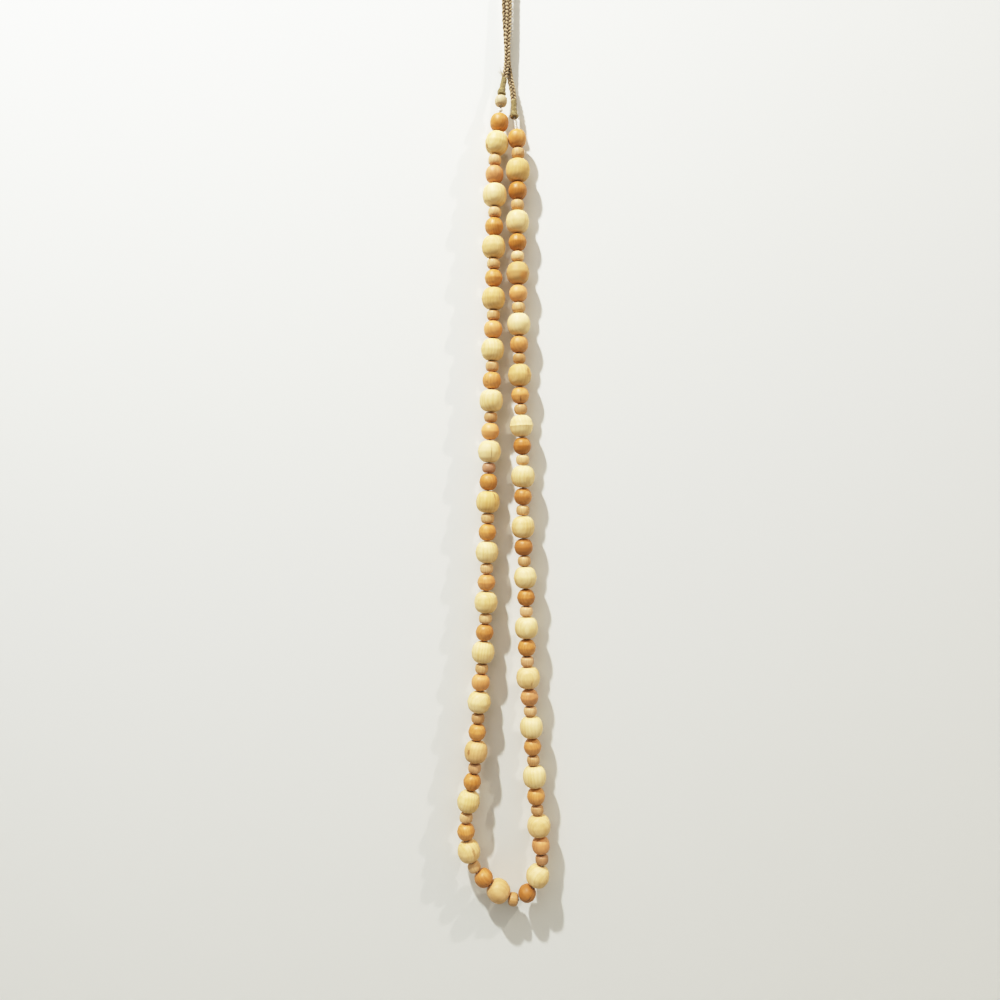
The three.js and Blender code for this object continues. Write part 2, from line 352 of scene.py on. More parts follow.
def piece(name, points, faces, materials, indices=None, sharp=CORD_SHARP):
    """A mesh object from points in millimetres, smooth but for its sharp edges."""
    mesh = bpy.data.meshes.new(name)
    mesh.from_pydata((points * MM).tolist(), [], faces)
    for material in materials:
        mesh.materials.append(material)
    if indices is not None:
        mesh.polygons.foreach_set("material_index", indices)
    mesh.polygons.foreach_set("use_smooth", np.ones(len(mesh.polygons), bool))
    mesh.set_sharp_from_angle(angle=math.radians(sharp))
    return new_object(name, mesh)


def note(obj, name, values):
    """Keeps a vector for each point of a piece, for its material to read."""
    attribute = obj.data.attributes.new(name, "FLOAT_VECTOR", "POINT")
    attribute.data.foreach_set("vector", np.ascontiguousarray(values, np.float32).ravel())


def note_yarn(obj, lie, hollow):
    """Keeps what spun fibre reads: the place in the yarn, and how deep in a hollow a point is."""
    note(obj, "lie", lie)
    note(obj, "hollow", np.stack([hollow] * 3, -1))


def stand_for(obj, node):
    """Puts a finished piece in the place of its solid."""
    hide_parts(node)
    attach(obj, "root")
    return obj


# ---- finishes

def add(tree, kind, inputs=None, **settings):
    """One node with its settings, its inputs set to a value or wired from a socket."""
    node = tree.nodes.new("ShaderNode" + kind)
    for key, value in settings.items():
        setattr(node, key, value)
    for key, value in (inputs or {}).items():
        if isinstance(value, bpy.types.NodeSocket):
            tree.links.new(value, node.inputs[key])
        else:
            node.inputs[key].default_value = value
    return node


def calc(tree, operation, a, b=0.0, clamp=False):
    """An operation on one or two numbers, its result kept from 0 to 1 if clamped."""
    return add(tree, "Math", {0: a, 1: b}, operation=operation, use_clamp=clamp).outputs[0]


def stretch(tree, vector, by):
    """A vector with each of its numbers multiplied."""
    return add(tree, "VectorMath", {0: vector, 1: by}, operation="MULTIPLY").outputs[0]


def size_of(tree, vector):
    """A vector's length."""
    return add(tree, "VectorMath", {0: vector}, operation="LENGTH").outputs["Value"]


def ease(tree, value, low, high, to_low=0.0, to_high=1.0):
    """A smooth step from to_low to to_high, as a value goes from low to high."""
    inputs = {"Value": value, "From Min": low, "From Max": high, "To Min": to_low, "To Max": to_high}
    return add(tree, "MapRange", inputs, interpolation_type="SMOOTHSTEP").outputs[0]


def speckle(tree, vector, scale, detail=2.0, w=None, rough=0.5):
    """Fractal noise from 0 to 1, in three dimensions, or four where w tells pieces apart."""
    inputs = {"Vector": vector, "Scale": scale, "Detail": detail, "Roughness": rough}
    if w is not None:
        inputs["W"] = w
    return add(tree, "TexNoise", inputs, noise_dimensions="3D" if w is None else "4D").outputs[0]


def blend(tree, factor, a, b):
    """Colour a at factor 0, colour b at 1, and a mix between them."""
    return add(tree, "Mix", {0: factor, 6: a, 7: b}, data_type="RGBA").outputs[2]


def read(tree, name):
    """What a piece keeps for each of its points under a name."""
    return add(tree, "Attribute", attribute_name=name).outputs["Vector"]


def numbers_of(tree, vector):
    """The three numbers of a vector."""
    return add(tree, "SeparateXYZ", {0: vector}).outputs


def rgb(color, times=1.0):
    """A solid colour, made lighter or darker."""
    return (*(times * c for c in color), 1.0)


def finish(name, rough=0.6, specular=0.3, sheen=0.0):
    """A new material, its node tree and its shader."""
    material = bpy.data.materials.new(name)
    material.use_nodes = True
    tree = material.node_tree
    shader = tree.nodes["Principled BSDF"]
    shader.inputs["Roughness"].default_value = rough
    shader.inputs["Specular IOR Level"].default_value = specular
    shader.inputs["Sheen Weight"].default_value = sheen
    return material, tree, shader


def bump(tree, height, depth, under=None):
    """A bump of that depth in millimetres, over another one if there is one."""
    inputs = {"Height": height, "Distance": depth * MM, "Strength": 1.0}
    if under is not None:
        inputs["Normal"] = under
    return add(tree, "Bump", inputs).outputs[0]


# Noise in the wood. The less its "along" is, the more it is drawn out along the hole.
WARP = dict(along=0.35, scale=0.11, detail=2.0)
FIBRES = dict(along=0.09, scale=1.9, detail=3.0, rough=0.65)
CLOUD = dict(along=0.5, scale=0.13, detail=1.0)
# The pith beside a bead, how far its rings wander, and how much they change along the hole.
GRAIN = Values(pith=(31.0, 9.0, 0.0), wander=15.0, along=0.05)
# How much of the deep colour the rings, the fibres, the cloud and paleness add.
DEEP_SHARES = (0.10, 0.46, 0.68, -0.30)
# How far a rosy bead turns rosy, and its colour in the pale and in the deep grain.
ROSY = Values(strength=0.75, pale=1.15, deep=0.72)
# The dark rim that the drill leaves, between two distances from the hole's middle.
DRILLED = Values(inside=1.2, outside=3.0, strength=0.55, shade=0.55)
# A mark's dark middle and the stain round it, each between two distances from its middle.
CORE = Values(inside=0.35, outside=1.1, color=(0.26, 0.11, 0.03))
HALO = Values(inside=0.5, outside=2.2, strength=0.4, color=(0.62, 0.31, 0.10))
RAGGED = Values(scale=0.9, by=1.3)
# How much smoother and rougher a wood is from fibre to fibre.
SMOOTHER, ROUGHER = 0.07, 0.13
# Depths of the relief, and the spacing of the cutter's lines.
RELIEF = Values(cutter=0.0015, spacing=0.62, fibres=0.09, mark=-0.35)
# Spun fibre: the streaks' fineness, and where they turn from dark to middle and on to light.
STREAKS = dict(scale=3.2, detail=3.0, rough=0.7)
DARK_STREAKS = (0.34, 0.52)
LIGHT_STREAKS = (0.50, 0.72)
# Patches of the plain middle colour, and how much painted shade darkens a hollow.
PATCHES = Values(scale=0.33, strength=0.45)
PAINTED_HOLLOW_SHADE = 0.8


def grain_noise(tree, grain, seed, along, scale, detail, rough=0.5):
    """Noise that is drawn out along the hole."""
    return speckle(tree, stretch(tree, grain, (1, 1, along)), scale, detail, seed, rough)


def wood_color(tree, grain, own, pale, deep, rosy, ring):
    """The colour of the grain, and the fibres, which also shape the surface."""
    seed, paler, rosier = own
    # Growth rings are round a pith beside the bead, so its front shows them as upright lines.
    warp = grain_noise(tree, grain, seed, **WARP)
    beside_pith = {0: stretch(tree, grain, (1, 1, GRAIN.along)), 1: GRAIN.pith}
    from_pith = add(tree, "VectorMath", beside_pith, operation="ADD").outputs[0]
    turns = calc(tree, "MULTIPLY", size_of(tree, from_pith), FULL_TURN / ring)
    waves = calc(tree, "SINE", calc(tree, "ADD", turns, calc(tree, "MULTIPLY", warp, GRAIN.wander)))
    bands = ease(tree, waves, -0.6, 1.0)
    fibres = grain_noise(tree, grain, seed, **FIBRES)
    cloud = grain_noise(tree, grain, seed, **CLOUD)

    share = 0.0
    for layer, amount in zip((bands, fibres, cloud, paler), DEEP_SHARES):
        share = calc(tree, "ADD", share, calc(tree, "MULTIPLY", layer, amount))
    share = ease(tree, share, 0.15, 1.00)
    color = blend(tree, share, rgb(pale), rgb(deep))
    reddened = blend(tree, share, rgb(rosy, ROSY.pale), rgb(rosy, ROSY.deep))
    return blend(tree, calc(tree, "MULTIPLY", rosier, ROSY.strength, True), color, reddened), fibres


def wood_mark(tree, grain, seed, skin):
    """How strong a bead's mark is at a point: its dark middle, and the stain round it."""
    mark = read(tree, "mark")
    off = add(tree, "VectorMath", {0: skin, 1: mark}, operation="SUBTRACT").outputs[0]
    away = size_of(tree, stretch(tree, off, read(tree, "mark_fit")))
    uneven = calc(tree, "SUBTRACT", speckle(tree, grain, RAGGED.scale, 2.0, seed), 0.5)
    away = calc(tree, "ADD", away, calc(tree, "MULTIPLY", uneven, RAGGED.by))
    core = ease(tree, away, CORE.inside, CORE.outside, 1.0, 0.0)
    halo = ease(tree, away, HALO.inside, HALO.outside, HALO.strength, 0.0)
    dark = numbers_of(tree, mark)[2]
    strength = calc(tree, "ABSOLUTE", dark)
    return calc(tree, "MULTIPLY", core, dark, True), calc(tree, "MULTIPLY", halo, strength)


def turned_wood(name, pale, deep, rosy, ring, rough, shine):
    """Turned wood with rings, fibres along the hole, cutter lines and a mark on some beads.

    "grain" is the place in the bead's own stick, with z along the hole. "stick" holds the bead's
    own number, how pale and how rosy it is. "mark" and "mark_fit" place its one mark, and the UV
    map "skin" holds the turn round the bead and the height along it.
    """
    material, tree, shader = finish(name, specular=shine)
    grain = read(tree, "grain")
    own = numbers_of(tree, read(tree, "stick"))
    skin = add(tree, "UVMap", uv_map="skin").outputs[0]
    color, fibres = wood_color(tree, grain, own, pale, deep, rosy, ring)
    core, halo = wood_mark(tree, grain, own[0], skin)

    from_hole = size_of(tree, stretch(tree, grain, (1, 1, 0)))
    rim = ease(tree, from_hole, DRILLED.inside, DRILLED.outside, DRILLED.strength, 0.0)
    color = blend(tree, rim, color, rgb(deep, DRILLED.shade))
    color = blend(tree, halo, color, rgb(HALO.color))
    color = blend(tree, core, color, rgb(CORE.color))
    tree.links.new(color, shader.inputs["Base Color"])

    roughness = ease(tree, fibres, 0.3, 0.75, rough - SMOOTHER, rough + ROUGHER)
    tree.links.new(roughness, shader.inputs["Roughness"])
    height = numbers_of(tree, skin)[1]
    cutter = calc(tree, "SINE", calc(tree, "MULTIPLY", height, FULL_TURN / RELIEF.spacing))
    normal = bump(tree, cutter, RELIEF.cutter)
    normal = bump(tree, fibres, RELIEF.fibres, normal)
    normal = bump(tree, core, RELIEF.mark, normal)
    tree.links.new(normal, shader.inputs["Normal"])
    return material


def spun_fibre(name, dark, middle, light, along, depth, rough):
    """Spun fibres: streaks that follow "lie", the place round and along the yarn.

    The less "along" is, the more they are drawn out along the yarn, and "depth" is their relief.
    "hollow" is 1 in the dip between two plies, where the dark colour is painted in as shade.
    """
    material, tree, shader = finish(name, rough=rough, specular=0.15, sheen=0.25)
    lie = read(tree, "lie")
    hollow = numbers_of(tree, read(tree, "hollow"))[0]
    streaks = speckle(tree, stretch(tree, lie, (1, 1, along)), **STREAKS)
    color = blend(tree, ease(tree, streaks, *DARK_STREAKS), rgb(dark), rgb(middle))
    color = blend(tree, ease(tree, streaks, *LIGHT_STREAKS), color, rgb(light))
    patches = ease(tree, speckle(tree, lie, PATCHES.scale), 0.35, 0.7, 0.0, PATCHES.strength)
    color = blend(tree, patches, color, rgb(middle))
    # Painted shade: the hollows take the dark colour.
    color = blend(tree, calc(tree, "MULTIPLY", hollow, PAINTED_HOLLOW_SHADE, True), color, rgb(dark))
    tree.links.new(color, shader.inputs["Base Color"])
    tree.links.new(bump(tree, streaks, depth), shader.inputs["Normal"])
    return material


WOODS = {
    "large": turned_wood(
        "large_pale_wood", pale=(0.88, 0.70, 0.395), deep=(0.68, 0.445, 0.155), rosy=(0.76, 0.46, 0.23),
        ring=2.6, rough=0.50, shine=0.35),
    "medium": turned_wood(
        "medium_honey_wood", pale=(0.73, 0.395, 0.14), deep=(0.46, 0.19, 0.03), rosy=(0.66, 0.34, 0.16),
        ring=2.1, rough=0.45, shine=0.50),
    "small": turned_wood(
        "small_rosy_wood", pale=(0.78, 0.54, 0.29), deep=(0.48, 0.265, 0.10), rosy=(0.64, 0.35, 0.20),
        ring=1.7, rough=0.48, shine=0.50),
}
FIRST_WOOD = turned_wood(
    "first_small_bead_wood", pale=(0.68, 0.55, 0.35), deep=(0.53, 0.41, 0.24), rosy=(0.60, 0.43, 0.28),
    ring=1.7, rough=0.50, shine=0.35)
JUTE = spun_fibre(
    "plaited_jute", dark=(0.145, 0.092, 0.046), middle=(0.52, 0.39, 0.23), light=(0.80, 0.71, 0.57),
    along=0.10, depth=0.16, rough=0.9)
BOUND_JUTE = spun_fibre(
    "wound_jute", dark=(0.11, 0.075, 0.03), middle=(0.36, 0.28, 0.13), light=(0.62, 0.52, 0.31),
    along=0.6, depth=0.20, rough=0.9)
HAIR = spun_fibre(
    "loose_jute_hair", dark=(0.42, 0.32, 0.18), middle=(0.66, 0.55, 0.37), light=(0.80, 0.72, 0.56),
    along=0.3, depth=0.02, rough=0.8)
COTTON = spun_fibre(
    "white_cotton", dark=(0.62, 0.57, 0.48), middle=(0.83, 0.80, 0.73), light=(0.90, 0.88, 0.83),
    along=0.15, depth=0.05, rough=0.85)


# ---- camera, light and room

def make_camera():
    """The camera, before the middle of the strand and pitched a little down."""
    data = bpy.data.cameras.new("camera")
    data.lens = CAMERA.lens
    data.sensor_width = CAMERA.sensor
    data.clip_start, data.clip_end = CAMERA.sees
    camera = new_object("camera", data)
    camera.location = CAMERA.place
    camera.rotation_euler = (math.radians(90 - CAMERA.pitch), 0, 0)
    bpy.context.scene.camera = camera


def make_lamp(name, place, watts, across, color):
    """A round lamp that faces the middle of the garland."""
    data = bpy.data.lights.new(name, "AREA")
    data.shape = "DISK"
    data.size = across
    data.energy = watts
    data.color = color
    lamp = new_object(name, data)
    lamp.location = place
    lamp.rotation_euler = (Vector(LAMP_AIM) - Vector(place)).to_track_quat("-Z", "Y").to_euler()


def make_world():
    """Light from all round, stronger from above. The room itself is seen plain and pale."""
    world = bpy.data.worlds.new("room_light")
    world.use_nodes = True
    bpy.context.scene.world = world
    tree = world.node_tree
    place = add(tree, "SeparateXYZ", {0: add(tree, "TexCoord").outputs["Generated"]})
    upward = ease(tree, place.outputs[2], *AMBIENT.turns)
    light = blend(tree, upward, rgb(AMBIENT.below), rgb(AMBIENT.above))
    tree.links.new(light, tree.nodes["Background"].inputs["Color"])
    seen = add(tree, "Background", {"Color": rgb(ROOM_SEEN)})
    is_seen = add(tree, "LightPath").outputs["Is Camera Ray"]
    lit = tree.nodes["Background"].outputs[0]
    mixed = add(tree, "MixShader", {0: is_seen, 1: lit, 2: seen.outputs[0]})
    tree.links.new(mixed.outputs[0], tree.nodes["World Output"].inputs["Surface"])


def make_tones():
    """The curve of TONES, laid over the plain display colours."""
    view = bpy.context.scene.view_settings
    view.view_transform = "Standard"
    view.use_curve_mapping = True
    view.curve_mapping.white_level = (BRIGHTEST,) * 3
    view.curve_mapping.extend = "HORIZONTAL"
    curve = view.curve_mapping.curves[3]
    for light, shown in TONES[1:-1]:
        curve.points.new(light / BRIGHTEST, shown)
    view.curve_mapping.update()


def plain_sheet(name, near, far, material):
    """A flat face right across the room between two edges, given as (y, z). It is no piece."""
    mesh = bpy.data.meshes.new(name)
    corners = [(side * ROOM, *edge) for side, edge in ((-1, near), (1, near), (1, far), (-1, far))]
    mesh.from_pydata(corners, [], [[0, 1, 2, 3]])
    mesh.materials.append(material)
    new_object(name, mesh)


def paint(name, rough, fineness, colors):
    """Plain paint, a little mottled between two colours."""
    material, tree, shader = finish(name, rough=rough, specular=0.1)
    mottle = speckle(tree, add(tree, "TexCoord").outputs["Object"], fineness)
    tree.links.new(blend(tree, mottle, *map(rgb, colors)), shader.inputs["Base Color"])
    return material, tree, shader


def make_room():
    """A pale wall close behind the garland, clear from behind, and a pale floor."""
    material, tree, shader = paint("wall_paint", 0.85, 2.2, WALL_COLORS)
    clear = add(tree, "BsdfTransparent")
    behind = add(tree, "NewGeometry").outputs["Backfacing"]
    mixed = add(tree, "MixShader", {0: behind, 1: shader.outputs[0], 2: clear.outputs[0]})
    tree.links.new(mixed.outputs[0], tree.nodes["Material Output"].inputs["Surface"])
    foot = WALL_Y - WALL_LEAN * FLOOR_Z
    head = WALL_Y - WALL_LEAN * WALL_TOP
    plain_sheet("wall", (foot, FLOOR_Z), (head, WALL_TOP), material)
    material = paint("floor_paint", 0.9, 3.0, FLOOR_COLORS)[0]
    plain_sheet("floor", (-ROOM, FLOOR_Z), (ROOM, FLOOR_Z), material)


# ---- jute

def places_in_yarn(turned, along):
    """Where the points of a tube lie in its yarn: the turn's cosine and sine, and the distance."""
    places = np.stack([np.cos(turned), np.sin(turned), along[:, None] + 0 * turned], -1)
    return np.vstack([places.reshape(-1, 3), places[0, 0], places[-1, 0]])


def plait(line, ends):
    """Three strands of two plies each, plaited along a line.

    A strand swings sideways by the sine of its phase and in depth by the sine of twice that, and
    the three are a third of a turn apart. Round a strand, the radius is that of two circles side
    by side which turn with the ply. Near the line's ends the plait is drawn in under its binding.
    """
    s = distances(line)
    _, front, aside = square_frames(line)
    closed = np.clip((ends - np.minimum(s, s[-1] - s)) / PLAIT.closing, 0, 1)
    open_out = 1 - PLAIT.drawn_in * closed
    strands, sides = PLAIT.strands, PLY.sides
    half_width = 0.5 * PLAIT.width
    half_depth = PLAIT.depth + PLY.offset + PLY.radius
    t = np.arange(sides) * FULL_TURN / sides
    parts, lies, hollows = [], [], []
    for k in range(strands):
        phase = FULL_TURN * (s / PLAIT.repeat + k / strands)
        sway = (PLAIT.swing * open_out * np.sin(phase))[:, None] * aside
        dip = (PLAIT.depth * open_out * np.sin(2 * phase))[:, None] * front
        turned = t[None, :] - FULL_TURN * (s[:, None] / PLY.twist + k / strands)
        along_plies = PLY.offset * np.abs(np.cos(turned))
        radius = along_plies + np.sqrt(PLY.radius ** 2 - (PLY.offset * np.sin(turned)) ** 2)
        uneven = 1 + PLY.uneven * np.sin(PLY.wave * s + k)
        radius *= ((1 - PLY.thinner * closed) * uneven)[:, None]
        parts.append(tube(line + sway + dip, radius))
        lies.append(places_in_yarn(turned, s + PLAIT.streaks_apart * k))

        # Painted shade: darker in the dip between the plies and towards the middle of the plait.
        valley = np.exp(-((np.abs(np.cos(turned)) / HOLLOW.dip_width) ** 2))
        off_line = parts[k][0][:-2].reshape(len(line), sides, 3) - line[:, None]
        sideways = (off_line * aside[:, None]).sum(-1) / half_width
        deep = (off_line * front[:, None]).sum(-1) / half_depth
        inside = np.clip(HOLLOW.middle - HOLLOW.fall * np.hypot(sideways, deep), 0, 1)
        hollow = np.maximum(HOLLOW.dip * valley, inside)
        hollows.append(np.append(hollow.reshape(-1), [1.0, 1.0]))
    points, faces = joined(parts)
    return points, faces, np.vstack(lies), np.concatenate(hollows)


def hairs(starts, directions, lengths, rng, radius=HAIR_SHAPE.radius):
    """Loose hairs, each a three-sided tube that bends as it leaves and thins out.

    Along each, the distance from its start grows evenly along its direction, and by the square of
    that towards a side of its own.
    """
    w = np.linspace(0, 1, HAIR_SHAPE.rows)[:, None]
    thin = radius * (1 - HAIR_SHAPE.thin * w) * np.ones((1, HAIR_SHAPE.sides))
    parts = []
    for start, direction, length in zip(starts, directions, lengths):
        bend = unit(rng.normal(size=3)) * length * rng.uniform(*HAIR_SHAPE.bend)
        line = start + direction * length * w + bend * w ** 2
        towards = HAIR_FRONT if abs(direction[1]) < NEARLY else UP
        parts.append(tube(line, thin, towards))
    return joined(parts)


def loose_piece(name, points, faces):
    """A piece of loose hairs, which goes with the jute and stands for no solid."""
    obj = piece(name, points, faces, [HAIR])
    note_yarn(obj, points, np.zeros(len(points)))
    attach(obj, "root")
    return obj


def make_jute(rng):
    """The plaited loop, with hairs that stand off it. It is the one free cord."""
    coarse = smooth_route(JUTE_ROUTE, PLAIT.samples)
    total = distances(coarse)[-1]
    line = at_distances(coarse, np.arange(0, total, PLAIT.spacing))
    points, faces, lie, hollow = plait(line, RIGHT_BINDING["length"] - BINDING.overhang)
    obj = piece("plaited_jute_loop", points, faces, [JUTE])
    note_yarn(obj, lie, hollow)
    stand_for(obj, "jute_loop")

    count = PLAIT_HAIRS.count
    bare = int(PLAIT_HAIRS.bare / PLAIT.spacing)
    free = line[bare:-bare]
    ahead, front, aside = square_frames(free)
    spots = rng.integers(0, len(free), count)
    angles = rng.uniform(0, FULL_TURN, count)[:, None]
    outward = np.cos(angles) * front[spots] + np.sin(angles) * aside[spots]
    reach = PLAIT_HAIRS.front * np.abs(np.cos(angles)) + PLAIT_HAIRS.aside * np.abs(np.sin(angles))
    slant = ahead[spots] * rng.choice([-1.0, 1.0], count)[:, None]
    starts = free[spots] + outward * reach
    directions = unit(outward * rng.uniform(*PLAIT_HAIRS.outward, count)[:, None] + slant)
    points, faces = hairs(starts, directions, rng.uniform(*PLAIT_HAIRS.lengths, count), rng)
    return obj, loose_piece("jute_hairs", points, faces), line


def flared(height, mouth):
    """How wide a binding is at a height: its neck, and by a smooth step its mouth at the bottom."""
    w = np.clip(1 - height / BINDING.flare, 0, 1)
    return BINDING.neck + (mouth - BINDING.neck) * w * w * (3 - 2 * w)


def sines(waves, u, screw):
    """The sum of sines of the turn round and of the winding's phase, as a list of waves says."""
    return sum(size * np.sin(times * FULL_TURN * u + wind * screw) for size, times, wind in waves)


def wound_sleeve(end, inwards, length, mouth, bulge):
    """A binding of yarn wound round and round, closed in round the thread at its mouth.

    Its section runs from the thread out over the mouth by a quarter of an ellipse, up the outside
    and back down the bore. The outside swells by a cosine of the winding's phase, and its ridges
    climb as a screw by one yarn's width a turn. Sines push them and the body a little aside.
    """
    turns = length / WINDING.yarn
    v = np.linspace(0, 1, int(turns * WINDING.rows))[:, None]
    u = np.arange(WINDING.columns)[None, :] / WINDING.columns
    even = np.ones_like(u)
    screw = FULL_TURN * v * turns
    ridge = np.abs(np.cos(math.pi * (v * turns - u + sines(RIDGE_DRIFT, u, screw))))
    end_drop = WINDING.drop * (1 - np.clip((1 - v) * turns / WINDING.drop_turns, 0, 1) ** 0.5)
    outside = flared(v * length, mouth) * (1 + sines(BODY_UNEVEN, u, screw))
    outside += WINDING.rise * (ridge - 1) - end_drop

    plug = BINDING.plug
    q = np.linspace(0, 1, WINDING.mouth_rows, endpoint=False)[:, None]
    over = plug + (outside[0] - plug) * np.sin(q * math.pi / 2)
    edge = 1 - MOUTH_EDGE.uneven * np.cos(FULL_TURN * (MOUTH_EDGE.climb * q - u))
    under = -bulge * np.cos(q * math.pi / 2) * edge
    plug_top = BINDING.plug_height
    bore_v = np.array([1.0, 0.75, 0.5, 0.25, plug_top / length, plug_top / 3 / length])[:, None]
    filled = np.clip(plug_top - bore_v * length, 0, 1)
    bore = (flared(bore_v * length, mouth) - BINDING.wall) * (1 - filled) + plug * filled
    radius = np.vstack([over, outside, bore * even])
    height = np.vstack([under, v * length * even, bore_v * length * even])

    _, front, aside = square_frames(np.array([end, end + inwards]))
    angle = FULL_TURN * u[..., None]
    ring = np.cos(angle) * front[0] + np.sin(angle) * aside[0]
    base = end - inwards * BINDING.overhang
    points = base + height[..., None] * inwards + radius[..., None] * ring
    turned = np.broadcast_to(FULL_TURN * u, radius.shape)
    lie = np.stack([0.5 * np.cos(turned), 0.5 * np.sin(turned), 2.2 * height + radius], -1)
    # Painted shade in the winding's dips, at the mouth and in the bore.
    dips = WOUND_SHADE.dips * np.exp(-((ridge / WOUND_SHADE.dip_width) ** 2))
    in_mouth = WOUND_SHADE.mouth * (1 - q) * even
    hollow = np.vstack([in_mouth, dips, np.full_like(bore * even, WOUND_SHADE.bore)])
    faces = closed_grid(*radius.shape)
    return points.reshape(-1, 3), faces, lie.reshape(-1, 3), hollow.reshape(-1)


def make_binding(side, end, inwards, length, mouth, bulge, rng):
    """A binding, and the loose fibres that stand off its yarn."""
    points, faces, lie, hollow = wound_sleeve(end, inwards, length, mouth, bulge)
    count = BINDING_HAIRS.count
    # All of the first four fifths of the points lie outside.
    outer = len(points) * 4 // 5
    starts = points[rng.integers(0, outer, count)]
    middle = end + ((starts - end) @ inwards)[:, None] * inwards
    outward = BINDING_HAIRS.outward * unit(starts - middle)
    directions = unit(outward + rng.normal(scale=BINDING_HAIRS.scatter, size=outward.shape))
    loose = hairs(starts, directions, rng.uniform(*BINDING_HAIRS.lengths, count), rng)
    indices = np.repeat(np.array([0, 1], np.int32), [len(faces), len(loose[1])])
    points, faces = joined([(points, faces), loose])
    obj = piece(side + "_wound_binding", points, faces, [BOUND_JUTE, HAIR], indices)
    note_yarn(obj, np.vstack([lie, loose[0]]), np.append(hollow, np.zeros(len(loose[0]))))
    return stand_for(obj, side + "_binding")


def make_frayed_end(end, inwards, rng):
    """Fibres of a cut yarn that stand out of the top of the left binding, to the left."""
    count = FRAYED.count
    up = LEFT_BINDING["length"] - BINDING.overhang + FRAYED.above
    root = end + inwards * up - RIGHT * FRAYED.left + FRONT * FRAYED.front
    lean = np.array(FRAYED.lean) + rng.normal(scale=FRAYED.scatter, size=(count, 3))
    starts = root + rng.normal(scale=FRAYED.root, size=(count, 3))
    lengths = rng.uniform(*FRAYED.lengths, count)
    points, faces = hairs(starts, unit(lean), lengths, rng, FRAYED.radius)
    return loose_piece("frayed_yarn_end", points, faces)


# ---- the strand

def walk(samples, gaps):
    """The joints of the strand: each bead lies on the straight line between two of them."""
    joints = [samples[0]]
    first = 1
    for i, kind in enumerate(ORDER):
        span = BEADS[kind].along + (gaps[i] + gaps[i + 1]) / 2
        away = np.linalg.norm(samples[first:] - joints[i], axis=1)
        first += int(np.argmax(away >= span))
        joints.append(joints[i] + unit(samples[first] - joints[i]) * span)
    return np.array(joints)


def room_at_joints(joints):
    """The clearance at each joint, and where the strand turns, half the face's width times the
    tangent of half the turn on each side, so that tilted faces stay apart."""
    steps = unit(np.diff(joints, axis=0))
    faces = np.array([BEADS[kind].face for kind in ORDER])
    turn = np.arccos(np.clip((steps[1:] * steps[:-1]).sum(1), -1, 1))
    widest = np.maximum(faces[1:], faces[:-1])
    gaps = np.full(len(joints), CLEARANCE)
    gaps[1:-1] += widest * np.tan(turn / 2)
    gaps[1] = KNOT_ROOM
    return gaps


def lay_strand():
    """The joints, and the clearance at each. The walk is taken again for the room at the joints."""
    samples = smooth_route(STRAND_ROUTE, ROUTE_SAMPLES)
    gaps = np.full(len(ORDER) + 1, CLEARANCE)
    for _ in range(2):
        gaps = room_at_joints(walk(samples, gaps))
    return walk(samples, gaps), gaps


def bead_section(kind, ridge, ripple, phase):
    """Heights and radii round a turned bead's section, a closed line.

    Outside it is a superellipse, cut off at the flat faces: the powers of height over its reach
    and of radius over half the width add up to one. Two cutters meet at the middle and leave a
    ridge, so the radius drops away from there as one less an exponential of the height. A cosine
    of the height adds the cutter's soft ripples. Inside, the line runs back through the hole.
    """
    b, turning = BEADS[kind], TURNING[kind]
    half, widest, p = b.along / 2, b.across / 2, turning.fullness
    reach = half / (1 - (turning.flat / b.across) ** p) ** (1 / p)
    end = math.asin((half / reach) ** (p / 2))
    t = np.linspace(-end, end, turning.rows + 1)
    height = reach * np.sign(t) * np.abs(np.sin(t)) ** (2 / p)
    radius = widest * np.cos(t) ** (2 / p)
    radius -= ridge * (1 - np.exp(-np.abs(height) / (RIDGE_REACH * widest)))
    radius -= ripple * (1 + np.cos(FULL_TURN * height / (RIPPLE_LENGTH * widest) + phase)) * np.cos(t)
    hole = HOLE / 2
    lip, step = turning.flat / 2 - RIM.inset, hole + RIM.wider
    upper = [half, half - RIM.step, half - RIM.deep]
    bore_heights = upper + [0.0] + [-h for h in reversed(upper)]
    bore_radii = [lip, step, hole, hole, hole, step, lip]
    return np.concatenate([height, bore_heights]), np.concatenate([radius, bore_radii])


def place_mark(number, tall, radius, axis, aside):
    """Where a bead's mark lies on its skin and how dark it is, and what its size goes by."""
    right, up, wide, high, dark = MARKS.get(number, NO_MARK)
    seen = right * RIGHT + up * UP
    at_height = seen @ axis
    local = np.interp(at_height, tall, radius)
    to_side = np.clip(seen @ aside / local, -MARK_LIMIT, MARK_LIMIT)
    at_turn = 0.5 + math.asin(to_side) / FULL_TURN
    return (at_turn, at_height, dark), (FULL_TURN * local / wide, 1 / high, 0)


def skin_map(tall, columns):
    """The UV corners of a bead's faces: the turn round the bead, and the height along it."""
    around = (np.arange(columns)[:, None] + np.array([0, 1, 1, 0])) / columns
    after = np.roll(tall, -1)
    along = np.stack([tall, tall, after, after], -1)
    return np.stack(np.broadcast_arrays(around[None], along[:, None]), -1).reshape(-1, 2)


